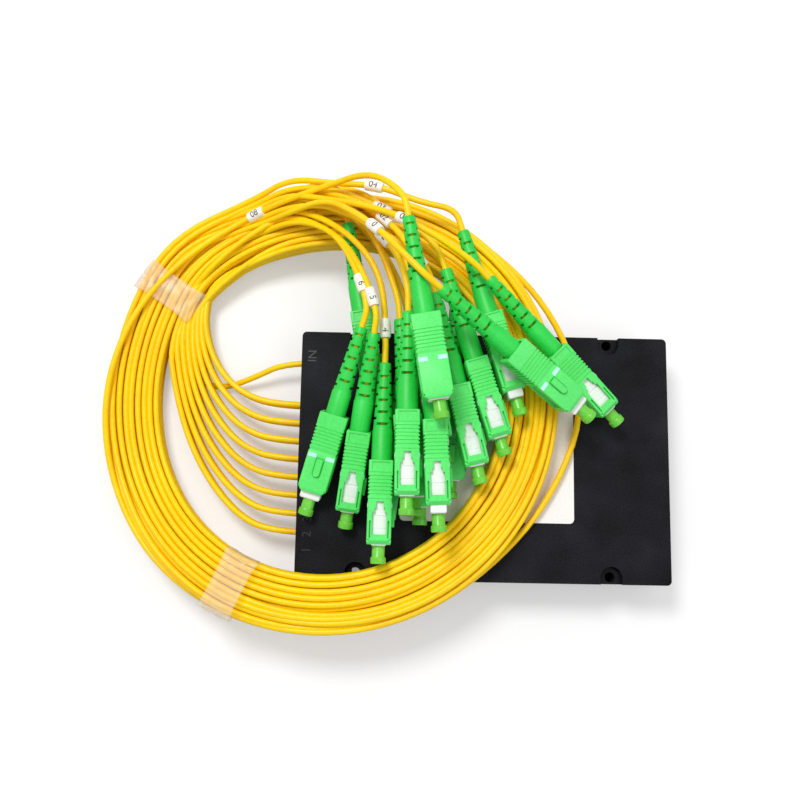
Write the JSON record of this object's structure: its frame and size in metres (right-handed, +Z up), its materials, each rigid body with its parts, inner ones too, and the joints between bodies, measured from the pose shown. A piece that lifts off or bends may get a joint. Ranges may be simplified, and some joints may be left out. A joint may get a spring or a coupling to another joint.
{
  "type": "plc fibre splitter",
  "caption": "Flat fibre splitter module: yellow cords leave one end, run round a taped coil and end in green push-pull plugs with dust caps.",
  "frame": {"origin": "centre of the box's footprint on its underside", "axes": "+X along the box, away from the end where the cords leave; +Y across the box; +Z up, out of the labelled cover"},
  "size_m": [0.1855, 0.1515, 0.0547],
  "materials": {
    "box_black": "fine spark-eroded, matt",
    "label_white": "satin film",
    "case_steel": "brushed",
    "chip_glass": "polished",
    "bond_grey": "cast resin",
    "fibre_clear": "clear",
    "cord_yellow": "satin jacket",
    "film_clear": "clear film",
    "sleeve_white": "satin",
    "body_white": "satin",
    "ferrule_white": "polished ceramic",
    "crimp_steel": "satin",
    "boot_green": "satin",
    "grip_green": "satin gloss",
    "cap_lime": "translucent"
  },
  "bodies": {
    "module": {"base_shell": "box_black", "top_cover": "box_black", "sticker": "label_white", "chip_case": "case_steel", "plc_chip": "chip_glass", "fibre_array_in": "chip_glass", "fibre_array_out": "chip_glass", "fan_out_block": "bond_grey", "cord_clamp_block": "bond_grey", "inner_fibres": "fibre_clear", "cord_coil": "cord_yellow", "tape_upper": "film_clear", "tape_lower": "film_clear", "lead_input": "cord_yellow", "leads_upper_row": "cord_yellow", "leads_lower_row": "cord_yellow", "plug_tails": "cord_yellow", "number_sleeves": "sleeve_white", "plug_bodies": "body_white", "ferrules": "ferrule_white", "crimp_sleeves": "crimp_steel", "boots": "boot_green"},
    "grip_a": {"grip_a": "grip_green"},
    "cap_a": {"cap_a": "cap_lime"},
    "grip_b": {"grip_b": "grip_green"},
    "cap_b": {"cap_b": "cap_lime"},
    "grip_c": {"grip_c": "grip_green"},
    "cap_c": {"cap_c": "cap_lime"},
    "grip_d": {"grip_d": "grip_green"},
    "cap_d": {"cap_d": "cap_lime"},
    "grip_e": {"grip_e": "grip_green"},
    "cap_e": {"cap_e": "cap_lime"},
    "grip_f": {"grip_f": "grip_green"},
    "cap_f": {"cap_f": "cap_lime"},
    "grip_g": {"grip_g": "grip_green"},
    "cap_g": {"cap_g": "cap_lime"},
    "grip_h": {"grip_h": "grip_green"},
    "cap_h": {"cap_h": "cap_lime"},
    "grip_i": {"grip_i": "grip_green"},
    "cap_i": {"cap_i": "cap_lime"},
    "grip_j": {"grip_j": "grip_green"},
    "cap_j": {"cap_j": "cap_lime"},
    "grip_k": {"grip_k": "grip_green"},
    "cap_k": {"cap_k": "cap_lime"},
    "grip_l": {"grip_l": "grip_green"},
    "cap_l": {"cap_l": "cap_lime"},
    "grip_m": {"grip_m": "grip_green"},
    "cap_m": {"cap_m": "cap_lime"},
    "grip_n": {"grip_n": "grip_green"},
    "cap_n": {"cap_n": "cap_lime"},
    "grip_o": {"grip_o": "grip_green"},
    "cap_o": {"cap_o": "cap_lime"},
    "grip_p": {"grip_p": "grip_green"},
    "cap_p": {"cap_p": "cap_lime"},
    "grip_q": {"grip_q": "grip_green"},
    "cap_q": {"cap_q": "cap_lime"}
  },
  "joints": [
    {"name": "grip_a_slide", "type": "slide", "parent": "module", "child": "grip_a", "axis": [-0.2734, -0.941, -0.1994], "range_m": [0, 0.002]},
    {"name": "cap_a_slide", "type": "slide", "parent": "module", "child": "cap_a", "axis": [-0.2734, -0.941, -0.1994], "range_m": [0, 0.004]},
    {"name": "grip_b_slide", "type": "slide", "parent": "module", "child": "grip_b", "axis": [-0.1291, -0.9677, -0.2164], "range_m": [-0.002, 0]},
    {"name": "cap_b_slide", "type": "slide", "parent": "module", "child": "cap_b", "axis": [-0.1291, -0.9677, -0.2164], "range_m": [0, 0.004]},
    {"name": "grip_c_slide", "type": "slide", "parent": "module", "child": "grip_c", "axis": [-0.014, -0.9999, 0], "range_m": [-0.002, 0]},
    {"name": "cap_c_slide", "type": "slide", "parent": "module", "child": "cap_c", "axis": [-0.014, -0.9999, 0], "range_m": [0, 0.004]},
    {"name": "grip_d_slide", "type": "slide", "parent": "module", "child": "grip_d", "axis": [0.0087, -1, 0], "range_m": [-0.002, 0]},
    {"name": "cap_d_slide", "type": "slide", "parent": "module", "child": "cap_d", "axis": [0.0087, -1, 0], "range_m": [0, 0.004]},
    {"name": "grip_e_slide", "type": "slide", "parent": "module", "child": "grip_e", "axis": [0.1736, -0.9848, 0], "range_m": [-0.002, 0]},
    {"name": "cap_e_slide", "type": "slide", "parent": "module", "child": "cap_e", "axis": [0.1736, -0.9848, 0], "range_m": [0, 0.004]},
    {"name": "grip_f_slide", "type": "slide", "parent": "module", "child": "grip_f", "axis": [0.1994, -0.9799, 0], "range_m": [0, 0.002]},
    {"name": "cap_f_slide", "type": "slide", "parent": "module", "child": "cap_f", "axis": [0.1994, -0.9799, 0], "range_m": [0, 0.004]},
    {"name": "grip_g_slide", "type": "slide", "parent": "module", "child": "grip_g", "axis": [0.2419, -0.9703, 0], "range_m": [-0.002, 0]},
    {"name": "cap_g_slide", "type": "slide", "parent": "module", "child": "cap_g", "axis": [0.2419, -0.9703, 0], "range_m": [0, 0.004]},
    {"name": "grip_h_slide", "type": "slide", "parent": "module", "child": "grip_h", "axis": [0.309, -0.9511, 0], "range_m": [-0.002, 0]},
    {"name": "cap_h_slide", "type": "slide", "parent": "module", "child": "cap_h", "axis": [0.309, -0.9511, 0], "range_m": [0, 0.004]},
    {"name": "grip_i_slide", "type": "slide", "parent": "module", "child": "grip_i", "axis": [0.3007, -0.9537, 0], "range_m": [0, 0.002]},
    {"name": "cap_i_slide", "type": "slide", "parent": "module", "child": "cap_i", "axis": [0.3007, -0.9537, 0], "range_m": [0, 0.004]},
    {"name": "grip_j_slide", "type": "slide", "parent": "module", "child": "grip_j", "axis": [0.7708, -0.5703, -0.284], "range_m": [0, 0.002]},
    {"name": "cap_j_slide", "type": "slide", "parent": "module", "child": "cap_j", "axis": [0.7708, -0.5703, -0.284], "range_m": [0, 0.004]},
    {"name": "grip_k_slide", "type": "slide", "parent": "module", "child": "grip_k", "axis": [0.6941, -0.6892, -0.2079], "range_m": [-0.002, 0]},
    {"name": "cap_k_slide", "type": "slide", "parent": "module", "child": "cap_k", "axis": [0.6941, -0.6892, -0.2079], "range_m": [0, 0.004]},
    {"name": "grip_l_slide", "type": "slide", "parent": "module", "child": "grip_l", "axis": [0.0941, -0.9956, 0], "range_m": [-0.002, 0]},
    {"name": "cap_l_slide", "type": "slide", "parent": "module", "child": "cap_l", "axis": [0.0941, -0.9956, 0], "range_m": [0, 0.004]},
    {"name": "grip_m_slide", "type": "slide", "parent": "module", "child": "grip_m", "axis": [0.0523, -0.9986, 0], "range_m": [0, 0.002]},
    {"name": "cap_m_slide", "type": "slide", "parent": "module", "child": "cap_m", "axis": [0.0523, -0.9986, 0], "range_m": [0, 0.004]},
    {"name": "grip_n_slide", "type": "slide", "parent": "module", "child": "grip_n", "axis": [-0.0175, -0.9998, 0], "range_m": [-0.002, 0]},
    {"name": "cap_n_slide", "type": "slide", "parent": "module", "child": "cap_n", "axis": [-0.0175, -0.9998, 0], "range_m": [0, 0.004]},
    {"name": "grip_o_slide", "type": "slide", "parent": "module", "child": "grip_o", "axis": [-0.1271, -0.9919, 0], "range_m": [-0.002, 0]},
    {"name": "cap_o_slide", "type": "slide", "parent": "module", "child": "cap_o", "axis": [-0.1271, -0.9919, 0], "range_m": [0, 0.004]},
    {"name": "grip_p_slide", "type": "slide", "parent": "module", "child": "grip_p", "axis": [0.1702, -0.9854, 0], "range_m": [-0.002, 0]},
    {"name": "cap_p_slide", "type": "slide", "parent": "module", "child": "cap_p", "axis": [0.1702, -0.9854, 0], "range_m": [0, 0.004]},
    {"name": "grip_q_slide", "type": "slide", "parent": "module", "child": "grip_q", "axis": [-0.0175, -0.9998, 0], "range_m": [-0.002, 0]},
    {"name": "cap_q_slide", "type": "slide", "parent": "module", "child": "cap_q", "axis": [-0.0175, -0.9998, 0], "range_m": [0, 0.004]}
  ]
}
